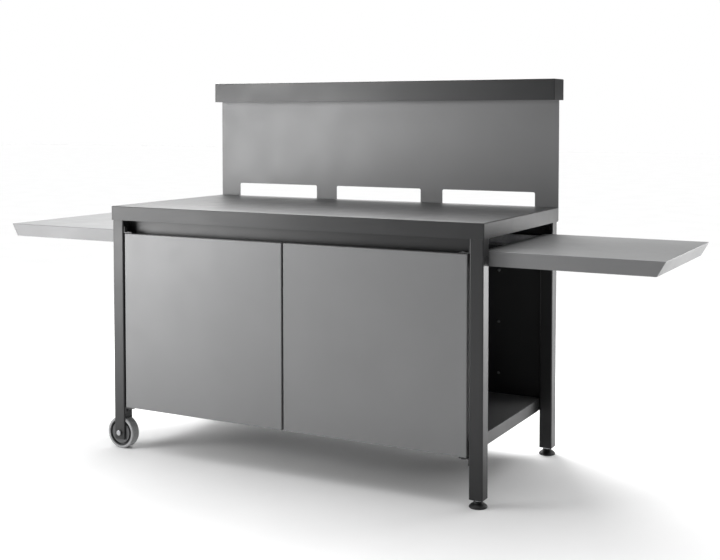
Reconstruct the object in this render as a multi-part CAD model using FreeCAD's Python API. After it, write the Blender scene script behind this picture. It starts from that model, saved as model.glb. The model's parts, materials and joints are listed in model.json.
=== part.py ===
import FreeCAD, Part
import os

# Grill cart with storage. Millimetres, +X right, +Y back, +Z up, floor at z = 0. The pieces are drawn about the
# middle of the four legs, and save() moves them so that the origin is the bottom centre of the whole cart.

os.makedirs("parts", exist_ok=True)
V = FreeCAD.Vector
ALONG_X = V(1, 0, 0)
ALONG_Y = V(0, 1, 0)
ALONG_Z = V(0, 0, 1)

# Frame
frame_width = 1248.0
frame_depth = 600.0
worktop_height = 766.0
leg_size = 40.0
leg_wall = 2.0
leg_corner = 4.0

# Worktop
worktop_sheet = 2.0
worktop_lip = 44.0
worktop_overhang = 3.0
bend_radius = 2.0
worktop_rib_pitch = 300.0
worktop_rib_width = 40.0
worktop_rib_height = 25.0
rib_sheet = 1.5

# Rails and tubes under the worktop
rail_sheet = 2.0
rail_seat_depth = 8.0
rail_front_margin = 2.0
side_tube_width = 25.0
side_tube_inset = 4.0
top_tube_height = 40.0
tube_wall = 1.5

# Doors
finger_recess = 41.0
door_drop = 4.0
door_thickness = 20.0
door_sheet = 1.5
door_return = 20.0
door_side_gap = 6.6
door_middle_gap = 6.3
door_rib_width = 30.0
door_rib_margin = 24.0
door_swing_gap = 1.4

# Door pivots
pivot_inset = 12.0
pivot_depth = 10.0
pin_radius = 4.0
pin_head_radius = 7.0
pin_head_height = 2.0
pin_reach = 11.0
bush_wall = 1.5
bush_length = 10.0
bush_flange = 1.5
washer_radius = 9.0
washer_thickness = 1.0
pivot_gap = 1.3
pivot_plate = 3.0
pivot_plate_reach = 31.0
pivot_flange_height = 20.0
pivot_plate_front = 4.0
pivot_plate_depth = 20.0

# Catches and bumpers
strike_width = 30.0
strike_height = 13.0
strike_sheet = 1.2
strike_offset = 12.0
catch_width = 34.0
catch_height = 16.0
catch_wall = 3.0
catch_proud = 1.0
catch_drop = 5.0
bumper_radius = 5.0
bumper_edge = 14.0

# Side shelves
shelf_top_gap = 35.0
shelf_height = 40.0
shelf_sheet = 2.0
shelf_bevel = 23.0
shelf_inset = 17.0
shelf_nose = 48.0
shelf_side_gap = 0.5
shelf_bracket_sheet = 2.0
shelf_bracket_width = 27.0

# Slides
slide_length = 445.0
slide_height = 34.0
slide_sheet = 1.5
slide_reach = 11.0
slide_drop = 3.0
slide_top_margin = 1.0
runner_depth = 9.0

# Bottom tray
tray_height = 173.0
tray_lip = 35.0
tray_sheet = 2.0
tray_front_gap = 2.0
tray_lip_notch = 13.0
tray_rib_pitch = 300.0
tray_rib_width = 40.0
tray_rib_height = 22.0
tray_bracket_sheet = 3.0
tray_bracket_width = 30.0
tray_bracket_gap = 3.0
tray_bracket_height = 32.0

# Back panel
back_inset = 20.0
back_sheet = 1.5
back_flange = 18.0
back_rib_offset = 442.0
back_rib_width = 30.0
back_rib_depth = 15.0
back_rib_foot = 7.0
back_rib_head = 42.0
rivet_margin = 57.0
rivet_pitch = 163.0
rivet_radius = 2.0
rivet_head_radius = 4.5
rivet_head_height = 1.5

# Splash panel and cap
splash_sheet = 2.0
splash_rise = 3.0
slot_length = 315.0
slot_pitch = 393.0
slot_top = 44.0
slot_drop = 4.0
slot_corner = 5.0
cap_rise = 395.5
cap_height = 65.0
cap_front = 44.0
cap_depth = 88.0
cap_sheet = 2.0
cap_angle_size = 30.0
cap_angle_sheet = 2.0
cap_angle_margin = 27.0
post_width = 40.0
post_depth = 20.0
post_sheet = 2.0
post_top_margin = 4.0

# Wheels
wheel_radius = 50.0
wheel_width = 31.0
wheel_slot_gap = 1.0
wheel_top_gap = 3.5
tyre_thickness = 8.0
tyre_edge = 2.5
hub_disc_radius = 34.0
hub_rim = 2.5
hub_web = 12.0
hub_inset = 1.5
hub_boss_radius = 10.0
axle_radius = 4.0
axle_head_width = 15.0
axle_head_height = 6.0
axle_nut_width = 13.0
axle_nut_height = 6.5
sleeve_wall = 2.0
left_leg_bottom = 30.0

# Levelling feet
foot_height = 23.0
pad_radius = 25.0
pad_edge = 3.0
pad_shoulder_radius = 21.0
pad_shoulder_height = 8.0
pad_hub_radius = 13.0
pad_cone_height = 13.0
pad_hub_height = 16.5
stem_radius = 5.0
stem_floor = 9.0
stem_spare = 2.0
collar_width = 17.0
collar_height = 3.5
insert_length = 25.0

# Screws and bolts
screw_radius = 3.0
screw_head_radius = 5.0
screw_head_height = 2.5
screw_grip = 4.0
bolt_radius = 3.0
bolt_head_width = 10.0
bolt_head_height = 4.0
bolt_end_margin = 24.0

# Leg plugs
plug_radius = 13.0
plug_offset = 4.0
plug_flange = 1.5
plug_collar_radius = 10.0
plug_collar_length = 6.0

# Clearances
running_gap = 0.05
touch_gap = 0.3
hole_gap = 0.1
weld_gap = 0.5

# Places that follow from the sizes above
half_width = frame_width / 2
half_depth = frame_depth / 2
bay_half_width = half_width - leg_size
bay_half_depth = half_depth - leg_size
leg_middle_x = half_width - leg_size / 2
leg_middle_y = half_depth - leg_size / 2
underside = worktop_height - worktop_sheet
lip_bottom = worktop_height - worktop_lip
top_half_width = half_width + worktop_overhang
top_half_depth = half_depth + worktop_overhang

tray_bottom = tray_height - tray_lip
door_bottom = tray_bottom - door_drop
door_top = lip_bottom - finger_recess
door_outer = bay_half_width - door_side_gap
door_inner = door_middle_gap / 2
door_front = -half_depth
door_back = door_front + door_thickness
pivot_x = door_outer - pivot_inset
pivot_y = door_front + pivot_depth
bush_radius = pin_radius + running_gap + bush_wall
bush_flange_radius = min(pivot_depth, door_thickness - pivot_depth) - door_sheet
swing_radius = (pivot_inset ** 2 + max(pivot_depth, door_thickness - pivot_depth) ** 2) ** 0.5
swing_back = pivot_y + swing_radius + door_swing_gap

rail_back = bay_half_depth - rail_sheet
shelf_top = lip_bottom - shelf_top_gap
shelf_bottom = shelf_top - shelf_height
shelf_half_depth = rail_back - shelf_side_gap
shelf_inner = bay_half_width + shelf_inset
shelf_outer = shelf_inner + slide_length + shelf_nose
seat_outer = rail_back - rail_seat_depth + rail_sheet
seat_inner = seat_outer - rail_sheet
rail_bottom = shelf_bottom - slide_drop - rail_sheet - slide_top_margin
slide_top = shelf_top - shelf_sheet - slide_drop
slide_bottom = slide_top - slide_height
slide_start = bay_half_width - slide_length

tray_front = door_back + tray_front_gap
back_front = half_depth - back_inset
back_rear = back_front + back_sheet
lip_inner = top_half_depth - worktop_sheet
tube_bottom = underside - top_tube_height
back_rib_bottom = tray_height + back_rib_foot
back_rib_top = lip_bottom - back_rib_head
rivet_count = int((back_rib_top - back_rib_bottom - rivet_margin) // rivet_pitch) + 1

splash_front = top_half_depth
splash_back = splash_front + splash_sheet
splash_bottom = lip_bottom + splash_rise
cap_top = worktop_height + cap_rise
cap_bottom = cap_top - cap_height
cap_front_face = splash_front - cap_front
cap_rear_face = cap_front_face + cap_depth
bolt_height = (tube_bottom + worktop_height - slot_drop) / 2 + 1.0

front_reach = max(top_half_depth, half_depth + axle_head_height)
centre_y = (cap_rear_face - front_reach) / 2


# Basic shapes

def box(x0, x1, y0, y1, z0, z1):
    return Part.makeBox(x1 - x0, y1 - y0, z1 - z0, V(x0, y0, z0))


def rod(radius, start, length, axis):
    return Part.makeCylinder(radius, length, start, axis)


def hexagon(width, start, length, axis):
    corner = width / 3 ** 0.5
    across = ALONG_Z if abs(axis.z) < 0.5 else ALONG_X
    points = []
    for i in range(7):
        turn = FreeCAD.Rotation(axis, 60.0 * i)
        points.append(start + turn.multVec(across) * corner)
    return Part.Face(Part.makePolygon(points)).extrude(axis * length)


def turned(profile, centre, axis):
    points = [V(r, 0, h) for r, h in profile]
    face = Part.Face(Part.makePolygon(points + points[:1]))
    solid = face.revolve(V(0, 0, 0), ALONG_Z, 360)
    solid.Placement = FreeCAD.Placement(centre, FreeCAD.Rotation(ALONG_Z, axis))
    return solid


def fused(first, *others):
    return first.fuse(list(others)).removeSplitter()


def group(solids):
    return Part.makeCompound(solids)


def other_side(shape):
    return shape.mirror(V(0, 0, 0), ALONG_X)


def other_end(shape):
    return shape.mirror(V(0, 0, 0), ALONG_Y)


def four_corners(shape):
    pair = [shape, other_end(shape)]
    return pair + [other_side(s) for s in pair]


def same(a, b):
    return abs(a - b) < 1e-6


def upright_edges(shape):
    found = []
    for edge in shape.Edges:
        a, b = edge.Vertexes[0], edge.Vertexes[-1]
        if same(a.X, b.X) and same(a.Y, b.Y) and not same(a.Z, b.Z):
            found.append(edge)
    return found


def edges_at(shape, axis, place):
    found = []
    for edge in shape.Edges:
        if all(same(getattr(v, axis), place) for v in edge.Vertexes):
            found.append(edge)
    return found


def folded_cover(x, y0, y1, z0, z1, sheet):
    """A sheet with its four sides turned down and its corners welded, open below."""
    outer = box(-x, x, y0, y1, z0, z1)
    outer = outer.makeFillet(bend_radius, upright_edges(outer) + edges_at(outer, "Z", z1))
    inner = box(-x + sheet, x - sheet, y0 + sheet, y1 - sheet, z0 - sheet, z1 - sheet)
    return outer.cut(inner)


def channel(x, width, y0, y1, z_web, depth, sheet):
    """A U of folded sheet under a plate, running along Y, web up against the plate at z_web."""
    outer = box(x - width / 2, x + width / 2, y0, y1, z_web - depth, z_web)
    inner = box(x - width / 2 + sheet, x + width / 2 - sheet, y0, y1, z_web - depth, z_web - sheet)
    return outer.cut(inner)


def upright_channel(x, width, y_web, depth, z0, z1, sheet):
    """A U of folded sheet standing behind a panel, web against the panel at y_web."""
    outer = box(x - width / 2, x + width / 2, y_web, y_web + depth, z0, z1)
    inner = box(x - width / 2 + sheet, x + width / 2 - sheet, y_web + sheet, y_web + depth, z0, z1)
    return outer.cut(inner)


def screw(head_seat, axis, grip):
    """A button-head screw: the head stands on the seat, the shank runs along the axis."""
    head = rod(screw_head_radius, head_seat, screw_head_height, axis * -1)
    head = head.makeChamfer(screw_head_height / 3, [far_rim(head, head_seat)])
    shank = rod(screw_radius, head_seat, grip, axis)
    return fused(head, shank)


def far_rim(shape, point):
    rims = [e for e in shape.Edges if e.Closed and len(e.Vertexes) == 1]
    return max(rims, key=lambda e: e.CenterOfMass.distanceToPoint(point))


def hole_for(seat, axis, grip):
    return rod(screw_radius + hole_gap, seat, grip, axis)


def save(name, shape):
    moved = shape.copy()
    moved.translate(V(0, -centre_y, 0))
    moved.exportStep("parts/" + name + ".step")


# Where the screws go: seat of the head and direction of the shank, for the front right corner

def rail_screw_seats():
    z = (lip_bottom + shelf_top) / 2
    spread = leg_size / 5
    return [V(leg_middle_x + d, -rail_back, z) for d in (-spread, spread)]


def tray_screw_seat():
    middle_z = tray_bottom + tray_lip / 2
    y = (swing_back - bay_half_depth) / 2
    return V(bay_half_width - tray_bracket_sheet, y, middle_z)


def pivot_screw_seats():
    y = door_front + pivot_plate_front + pivot_plate_depth / 2
    x = bay_half_width - pivot_plate
    middle = pivot_plate + (pivot_flange_height - pivot_plate) / 2
    low = door_bottom - pivot_gap - middle
    high = door_top + pivot_gap + middle
    return [V(x, y, low), V(x, y, high)]


def back_screw_seats():
    x = bay_half_width - back_sheet
    y = back_front + back_flange / 2
    low = tray_height + back_flange
    high = lip_bottom - back_flange
    return [V(x, y, low), V(x, y, (low + high) / 2), V(x, y, high)]


def right_leg_screws(front):
    """Seats, directions and grips of the screws that enter a right-hand leg, front or rear."""
    wall = leg_wall + screw_grip
    found = [(seat, ALONG_Y * -1, rail_sheet + wall) for seat in rail_screw_seats()]
    found.append((tray_screw_seat(), ALONG_X, tray_bracket_sheet + wall))
    if front:
        found += [(seat, ALONG_X, pivot_plate + wall) for seat in pivot_screw_seats()]
        return found
    found = [(V(s.x, -s.y, s.z), V(a.x, -a.y, a.z), grip) for s, a, grip in found]
    return found + [(seat, ALONG_X, back_sheet + wall) for seat in back_screw_seats()]


# Legs

def leg_tube(front, bottom):
    y0 = -half_depth if front else bay_half_depth
    outer = box(bay_half_width, half_width, y0, y0 + leg_size, bottom, underside)
    outer = outer.makeFillet(leg_corner, upright_edges(outer))
    inner = box(bay_half_width + leg_wall, half_width - leg_wall, y0 + leg_wall, y0 + leg_size - leg_wall,
                bottom, underside)
    inner = inner.makeFillet(max(leg_corner - leg_wall, 0.5), upright_edges(inner))
    tube = outer.cut(inner)
    for seat, axis, grip in right_leg_screws(front):
        tube = tube.cut(hole_for(seat, axis, grip))
    plug_hole = rod(plug_collar_radius + hole_gap, plug_seat(front), leg_wall * 2, ALONG_X * -1)
    return tube.cut(plug_hole)


def plug_seat(front):
    y = plug_offset - leg_middle_y
    z = (slide_top + slide_bottom) / 2
    return V(half_width, y if front else -y, z)


def leg_plug(front):
    seat = plug_seat(front)
    flange = rod(plug_radius, seat, plug_flange, ALONG_X)
    flange = flange.makeFillet(plug_flange / 2, [far_rim(flange, seat)])
    collar = rod(plug_collar_radius, seat, plug_collar_length, ALONG_X * -1)
    hollow = rod(plug_collar_radius - leg_wall, seat, plug_collar_length, ALONG_X * -1)
    return fused(flange, collar).cut(hollow)


def wheel_leg(front):
    """A left-hand leg, drawn on the right: its side walls are open round the wheel."""
    tube = leg_tube(front, left_leg_bottom)
    middle = -leg_middle_y if front else leg_middle_y
    reach = wheel_width / 2 + wheel_slot_gap
    chord = (wheel_radius ** 2 - (leg_size / 2 - leg_wall) ** 2) ** 0.5
    slot_end = wheel_radius + chord + wheel_top_gap
    slot = box(bay_half_width - leg_wall, half_width + leg_wall, middle - reach, middle + reach,
               left_leg_bottom - leg_wall, slot_end)
    axle = rod(axle_radius + hole_gap, V(leg_middle_x, middle - leg_size, wheel_radius), leg_size * 2, ALONG_Y)
    return tube.cut(slot).cut(axle)


# Rails and tubes

def side_rail_profile():
    """The front rail: a web behind the doors, a flange under the worktop, a seat for the slides."""
    end = half_width - side_tube_inset
    web = box(-end, end, -bay_half_depth, -rail_back, rail_bottom, underside)
    reach = bay_half_width - weld_gap
    fold = box(-reach, reach, -rail_back, -seat_inner, rail_bottom, rail_bottom + rail_sheet)
    seat = box(-reach, reach, -seat_outer, -seat_inner, rail_bottom, slide_top + slide_top_margin)
    flange = box(-reach, reach, -lip_inner + rail_front_margin, -rail_back, underside - rail_sheet, underside)
    rail = fused(web, fold, seat, flange)
    for seat_point in rail_screw_seats():
        hole = hole_for(seat_point, ALONG_Y * -1, rail_sheet)
        rail = rail.cut(hole).cut(other_side(hole))
    return rail


def rear_rail_profile():
    rail = other_end(side_rail_profile())
    beyond = box(-half_width, half_width, back_front - weld_gap, half_depth, lip_bottom, underside)
    return rail.cut(beyond)


def side_top_tube():
    x1 = half_width - side_tube_inset
    x0 = x1 - side_tube_width
    outer = box(x0, x1, -rail_back, rail_back, tube_bottom, underside)
    inner = box(x0 + tube_wall, x1 - tube_wall, -rail_back, rail_back, tube_bottom + tube_wall, underside - tube_wall)
    return outer.cut(inner)


def rear_top_tube():
    outer = box(-bay_half_width, bay_half_width, back_rear, lip_inner, tube_bottom, underside)
    inner = box(-bay_half_width, bay_half_width, back_rear + tube_wall, lip_inner - tube_wall,
                tube_bottom + tube_wall, underside - tube_wall)
    tube = outer.cut(inner)
    for x in bolt_places():
        tube = tube.cut(rod(bolt_radius + hole_gap, V(x, lip_inner, bolt_height), tube_wall, ALONG_Y * -1))
    return tube


# Worktop

def worktop():
    cover = folded_cover(top_half_width, -top_half_depth, top_half_depth, lip_bottom, worktop_height, worktop_sheet)
    for x in bolt_places():
        cover = cover.cut(rod(bolt_radius + hole_gap, V(x, lip_inner, bolt_height), worktop_sheet, ALONG_Y))
    return cover


def worktop_ribs():
    reach = rail_back - weld_gap
    return [channel(x, worktop_rib_width, -reach, reach, underside, worktop_rib_height, rib_sheet)
            for x in (-worktop_rib_pitch, 0.0, worktop_rib_pitch)]


# Bottom tray

def bottom_tray():
    """A plate with turned-down lips, notched at the corners for the brackets and, in front, for the doors' swing."""
    plate = box(-bay_half_width, bay_half_width, tray_front, back_front, tray_height - tray_sheet, tray_height)
    corner_x = bay_half_width - tray_bracket_width - weld_gap
    corner = box(corner_x, bay_half_width, tray_front, swing_back, tray_height - tray_sheet, tray_height)
    plate = plate.cut(corner).cut(other_side(corner))
    side_y = bay_half_depth - tray_lip_notch
    lips = [box(bay_half_width - tray_sheet, bay_half_width, -side_y, side_y, tray_bottom, tray_height)]
    lips.append(other_side(lips[0]))
    lips.append(box(-corner_x, corner_x, tray_front, tray_front + tray_sheet, tray_bottom, tray_height))
    lips.append(box(-corner_x, corner_x, back_front - tray_sheet, back_front, tray_bottom, tray_height))
    return fused(plate, *lips)


def tray_ribs():
    front = tray_front + tray_sheet + weld_gap
    rear = back_front - tray_sheet - weld_gap
    return [channel(x, tray_rib_width, front, rear, tray_height - tray_sheet, tray_rib_height, rib_sheet)
            for x in (-tray_rib_pitch, 0.0, tray_rib_pitch)]


def tray_bracket():
    top = tray_height - tray_sheet
    y1 = tray_lip_notch - bay_half_depth - tray_bracket_gap
    shelf = box(bay_half_width - tray_bracket_width, bay_half_width, swing_back, y1, top - tray_bracket_sheet, top)
    wall = box(bay_half_width - tray_bracket_sheet, bay_half_width, swing_back, y1, top - tray_bracket_height, top)
    return fused(shelf, wall).cut(hole_for(tray_screw_seat(), ALONG_X, tray_bracket_sheet))


# Back panel

def back_panel():
    edge = bay_half_width
    sheet = box(-edge, edge, back_front, back_rear, tray_bottom, underside - weld_gap)
    top = min(lip_bottom, tube_bottom - weld_gap)
    flange = box(edge - back_sheet, edge, back_front, back_front + back_flange, tray_bottom, top)
    panel = fused(sheet, flange, other_side(flange))
    for seat in back_screw_seats():
        hole = hole_for(seat, ALONG_X, back_sheet)
        panel = panel.cut(hole).cut(other_side(hole))
    for place in rivet_places():
        panel = panel.cut(rod(rivet_radius + hole_gap, place, back_sheet, ALONG_Y))
    return panel


def rivet_places():
    return [V(side * back_rib_offset, back_front, back_rib_bottom + rivet_margin + i * rivet_pitch)
            for side in (-1, 1) for i in range(rivet_count)]


def back_ribs():
    ribs = []
    for side in (-1, 1):
        rib = upright_channel(side * back_rib_offset, back_rib_width, back_rear, back_rib_depth,
                              back_rib_bottom, back_rib_top, rib_sheet)
        for place in rivet_places():
            rib = rib.cut(rod(rivet_radius + hole_gap, place, back_sheet + rib_sheet, ALONG_Y))
        ribs.append(rib)
    return ribs


def rivet(place):
    head = rod(rivet_head_radius, place, rivet_head_height, ALONG_Y * -1)
    head = head.makeFillet(rivet_head_height * 0.6, [far_rim(head, place)])
    shank = rod(rivet_radius, place, back_sheet + rib_sheet, ALONG_Y)
    tail = rod(rivet_head_radius * 0.8, place + V(0, back_sheet + rib_sheet, 0), rivet_head_height, ALONG_Y)
    return fused(head, shank, tail)


# Splash panel and cap

def bolt_places():
    outer = bay_half_width - bolt_end_margin
    inner = slot_pitch / 2
    return [-outer, -inner, inner, outer]


def splash_slot(x):
    z0 = worktop_height - slot_drop
    z1 = worktop_height + slot_top
    cutter = box(x - slot_length / 2, x + slot_length / 2, splash_front - splash_sheet,
                 splash_back + splash_sheet, z0, z1)
    corners = [e for e in cutter.Edges if same(e.Vertexes[0].X, e.Vertexes[-1].X)
               and same(e.Vertexes[0].Z, e.Vertexes[-1].Z)]
    return cutter.makeFillet(slot_corner, corners)


def splash_panel():
    lower = box(-top_half_width, top_half_width, splash_front, splash_back, splash_bottom, cap_bottom)
    inside = top_half_width - cap_sheet - touch_gap
    upper = box(-inside, inside, splash_front, splash_back, splash_bottom, cap_top - cap_sheet)
    panel = fused(lower, upper)
    for x in (-slot_pitch, 0.0, slot_pitch):
        panel = panel.cut(splash_slot(x))
    for x in bolt_places():
        panel = panel.cut(rod(bolt_radius + hole_gap, V(x, splash_front, bolt_height), splash_sheet, ALONG_Y))
    for x in cap_bolt_places():
        panel = panel.cut(rod(bolt_radius + hole_gap, V(x, splash_front, cap_bolt_height()), splash_sheet, ALONG_Y))
    return panel


def splash_posts():
    posts = []
    for side in (-1, 1):
        post = upright_channel(side * slot_pitch / 2, post_width, splash_back, post_depth,
                               splash_bottom, cap_top - cap_sheet - post_top_margin, post_sheet)
        for x in bolt_places():
            post = post.cut(rod(bolt_radius + hole_gap, V(x, splash_back, bolt_height), post_sheet, ALONG_Y))
        posts.append(post)
    return posts


def splash_cap():
    return folded_cover(top_half_width, cap_front_face, cap_rear_face, cap_bottom, cap_top, cap_sheet)


def cap_bolt_places():
    outer = bay_half_width - bolt_end_margin
    return [-outer, 0.0, outer]


def cap_bolt_height():
    return cap_top - cap_sheet - cap_angle_size * 0.6


def cap_angle():
    end = top_half_width - cap_angle_margin
    top = cap_top - cap_sheet
    wall = box(-end, end, splash_front - cap_angle_sheet, splash_front, top - cap_angle_size, top)
    shelf = box(-end, end, splash_front - cap_angle_size, splash_front, top - cap_angle_sheet, top)
    angle = fused(wall, shelf)
    for x in cap_bolt_places():
        hole = rod(bolt_radius + hole_gap, V(x, splash_front, cap_bolt_height()), cap_angle_sheet, ALONG_Y * -1)
        angle = angle.cut(hole)
    return angle


def hex_bolt(seat, grip, axis):
    head = hexagon(bolt_head_width, seat, bolt_head_height, axis * -1)
    return fused(head, rod(bolt_radius, seat, grip, axis))


def splash_bolts():
    """Bolts from behind: through post or panel and the worktop's lip into the tube, and panel to cap angle."""
    bolts = []
    for x in bolt_places():
        on_post = same(abs(x), slot_pitch / 2)
        seat_y = splash_back + (post_sheet if on_post else 0.0)
        grip = seat_y - lip_inner + tube_wall + screw_grip
        bolts.append(hex_bolt(V(x, seat_y, bolt_height), grip, ALONG_Y * -1))
    for x in cap_bolt_places():
        grip = splash_sheet + cap_angle_sheet + screw_grip
        bolts.append(hex_bolt(V(x, splash_back, cap_bolt_height()), grip, ALONG_Y * -1))
    return bolts


# Doors, drawn on the right

def door():
    """A folded tray with returns at the back, and holes in its top and bottom folds for the bushes."""
    outer = box(door_inner, door_outer, door_front, door_back, door_bottom, door_top)
    outer = outer.makeFillet(bend_radius, edges_at(outer, "Y", door_front))
    s = door_sheet
    cavity = box(door_inner + s, door_outer - s, door_front + s, door_back - s, door_bottom + s, door_top - s)
    r = door_sheet + door_return
    mouth = box(door_inner + r, door_outer - r, door_back - s, door_back, door_bottom + r, door_top - r)
    bush_hole = rod(bush_radius + hole_gap, V(pivot_x, pivot_y, door_bottom), door_top - door_bottom, ALONG_Z)
    folds = box(door_inner, door_outer, door_front, door_back, door_bottom + s, door_top - s)
    return outer.cut(cavity).cut(mouth).cut(bush_hole.cut(folds))


def door_rib():
    x = (door_inner + door_outer) / 2
    y0 = door_front + door_sheet
    y1 = door_back - door_sheet - weld_gap
    z0 = door_bottom + door_rib_margin
    z1 = door_top - door_rib_margin
    outer = box(x - door_rib_width / 2, x + door_rib_width / 2, y0, y1, z0, z1)
    half = door_rib_width / 2 - rib_sheet
    inner = box(x - half, x + half, y0 + rib_sheet, y1, z0, z1)
    return outer.cut(inner)


def door_bush(z_fold, up):
    """A flanged bush: the flange lies on the inside of the fold, the sleeve reaches through it."""
    direction = ALONG_Z * up
    inside = V(pivot_x, pivot_y, z_fold) + direction * door_sheet
    outside = V(pivot_x, pivot_y, z_fold)
    sleeve = rod(bush_radius, outside, bush_length, direction)
    flange = rod(bush_flange_radius, inside, bush_flange, direction)
    bore = rod(pin_radius + running_gap, outside, bush_length, direction)
    return fused(sleeve, flange).cut(bore)


def door_bushes():
    return [door_bush(door_bottom, 1), door_bush(door_top, -1)]


def strike_plate():
    x0 = door_inner + strike_offset
    z1 = door_top - catch_drop - (catch_height - strike_height) / 2
    return box(x0, x0 + strike_width, door_back, door_back + strike_sheet, z1 - strike_height, z1)


def pivot_brackets():
    """Angles on the inner face of the front right leg, under and over the door."""
    y0 = door_front + pivot_plate_front
    y1 = y0 + pivot_plate_depth
    x0 = bay_half_width - pivot_plate_reach
    pieces = []
    for level, up in ((door_bottom - pivot_gap, -1), (door_top + pivot_gap, 1)):
        z0, z1 = sorted((level, level + up * pivot_plate))
        plate = box(x0, bay_half_width, y0, y1, z0, z1)
        z0, z1 = sorted((level, level + up * pivot_flange_height))
        flange = box(bay_half_width - pivot_plate, bay_half_width, y0, y1, z0, z1)
        angle = fused(plate, flange)
        far = V(pivot_x, pivot_y, level)
        angle = angle.cut(rod(pin_radius + hole_gap, far, pivot_plate, ALONG_Z * up))
        for seat in pivot_screw_seats():
            angle = angle.cut(hole_for(seat, ALONG_X, pivot_plate))
        pieces.append(angle)
    return pieces


def pivot_pins():
    pins = []
    for level, up in ((door_bottom - pivot_gap, -1), (door_top + pivot_gap, 1)):
        tip = V(pivot_x, pivot_y, level - up * pin_reach)
        shank = rod(pin_radius, tip, pin_reach + pivot_plate, ALONG_Z * up)
        head = rod(pin_head_radius, V(pivot_x, pivot_y, level + up * pivot_plate), pin_head_height, ALONG_Z * up)
        pins.append(fused(shank, head))
    return pins


def pivot_washer():
    floor = V(pivot_x, pivot_y, door_bottom - pivot_gap)
    disc = rod(washer_radius, floor, washer_thickness, ALONG_Z)
    return disc.cut(rod(pin_radius + hole_gap, floor, washer_thickness, ALONG_Z))


# Catches and bumpers, drawn on the right

def catch_box():
    """The corners of a catch: x0, x1, front, z0, z1."""
    x0 = door_inner + strike_offset - (catch_width - strike_width) / 2
    front = door_back + strike_sheet + touch_gap
    z1 = door_top - catch_drop
    return x0, x0 + catch_width, front, z1 - catch_height, z1


def catch_housing():
    x0, x1, front, z0, z1 = catch_box()
    body = box(x0, x1, front + catch_proud, -bay_half_depth, z0, z1)
    w = catch_wall
    pocket = box(x0 + w, x1 - w, front, -bay_half_depth - w, z0 + w, z1 - w)
    return body.cut(pocket)


def catch_magnet():
    x0, x1, front, z0, z1 = catch_box()
    w = catch_wall
    return box(x0 + w, x1 - w, front, -bay_half_depth - w, z0 + w, z1 - w)


def bumper_pair():
    z = door_bottom + bumper_edge
    length = tray_front - door_back - touch_gap
    outer = bay_half_width - tray_bracket_width - weld_gap - bumper_radius - tray_sheet
    places = (door_inner + strike_offset + bumper_radius, outer)
    pads = []
    for x in places:
        seat = V(x, tray_front, z)
        pad = rod(bumper_radius, seat, length, ALONG_Y * -1)
        pads.append(pad.makeFillet(length / 2, [far_rim(pad, seat)]))
    return pads


# Side shelves and slides, drawn on the right and pulled out

def shelf_outline(y, inset):
    """The shelf's section, seen from the front: flat top, outer end leaning in towards the bottom."""
    lean = shelf_bevel / shelf_height
    end = shelf_outer - inset * (1 + lean ** 2) ** 0.5 - inset * lean
    top = shelf_top - inset
    bottom = shelf_bottom - inset
    points = [V(shelf_inner, y, top), V(end, y, top), V(end - lean * (top - bottom), y, bottom),
              V(shelf_inner, y, bottom), V(shelf_inner, y, top)]
    return Part.Face(Part.makePolygon(points))


def side_shelf():
    outer = shelf_outline(-shelf_half_depth, 0.0).extrude(ALONG_Y * 2 * shelf_half_depth)
    edges = [e for e in edges_at(outer, "Z", shelf_top) if not same(e.CenterOfMass.x, shelf_inner)]
    outer = outer.makeFillet(bend_radius, edges)
    inside = shelf_half_depth - shelf_sheet
    hollow = shelf_outline(-inside, shelf_sheet).extrude(ALONG_Y * 2 * inside)
    return outer.cut(hollow)


def slide_member(start, outer_y, gap, depth, web_first):
    """One folded member of a slide, its web on the frame's side or on the shelf's side, for the front."""
    z0 = slide_bottom + gap
    z1 = slide_top - gap
    y0 = -outer_y
    y1 = y0 + depth
    block = box(start, start + slide_length, y0, y1, z0, z1)
    if web_first:
        inner = box(start, start + slide_length, y0 + slide_sheet, y1, z0 + slide_sheet, z1 - slide_sheet)
    else:
        inner = box(start, start + slide_length, y0, y1 - slide_sheet, z0 + slide_sheet, z1 - slide_sheet)
    return block.cut(inner)


def slide_outer():
    return slide_member(slide_start, seat_inner, 0.0, slide_reach, True)


def slide_carrier():
    step = slide_sheet + touch_gap
    return slide_member(slide_start + slide_length / 2, seat_inner - step, step, slide_reach - step, True)


def slide_runner():
    step = 2 * (slide_sheet + touch_gap)
    return slide_member(slide_start + slide_length, seat_inner - step, step, runner_depth, False)


def shelf_bracket():
    """The angle that hangs the runner from the shelf's plate."""
    y0 = -(seat_inner - 2 * (slide_sheet + touch_gap) - runner_depth)
    top = shelf_top - shelf_sheet
    step = 2 * (slide_sheet + touch_gap)
    x1 = slide_start + 2 * slide_length
    wall = box(shelf_inner, x1, y0, y0 + shelf_bracket_sheet, slide_bottom + step, top)
    flange = box(shelf_inner, x1, y0, y0 + shelf_bracket_width, top - shelf_bracket_sheet, top)
    return fused(wall, flange)


# Wheels, drawn on the left at the front

def wheel_centre():
    return V(-leg_middle_x, -leg_middle_y, wheel_radius)


def tyre():
    half = wheel_width / 2
    rim = wheel_radius - tyre_thickness
    e = tyre_edge
    profile = [(rim, -half), (wheel_radius - e, -half), (wheel_radius - e / 3, -half + e / 3),
               (wheel_radius, -half + e), (wheel_radius, half - e), (wheel_radius - e / 3, half - e / 3),
               (wheel_radius - e, half), (rim, half)]
    return turned(profile, wheel_centre(), ALONG_Y)


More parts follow.
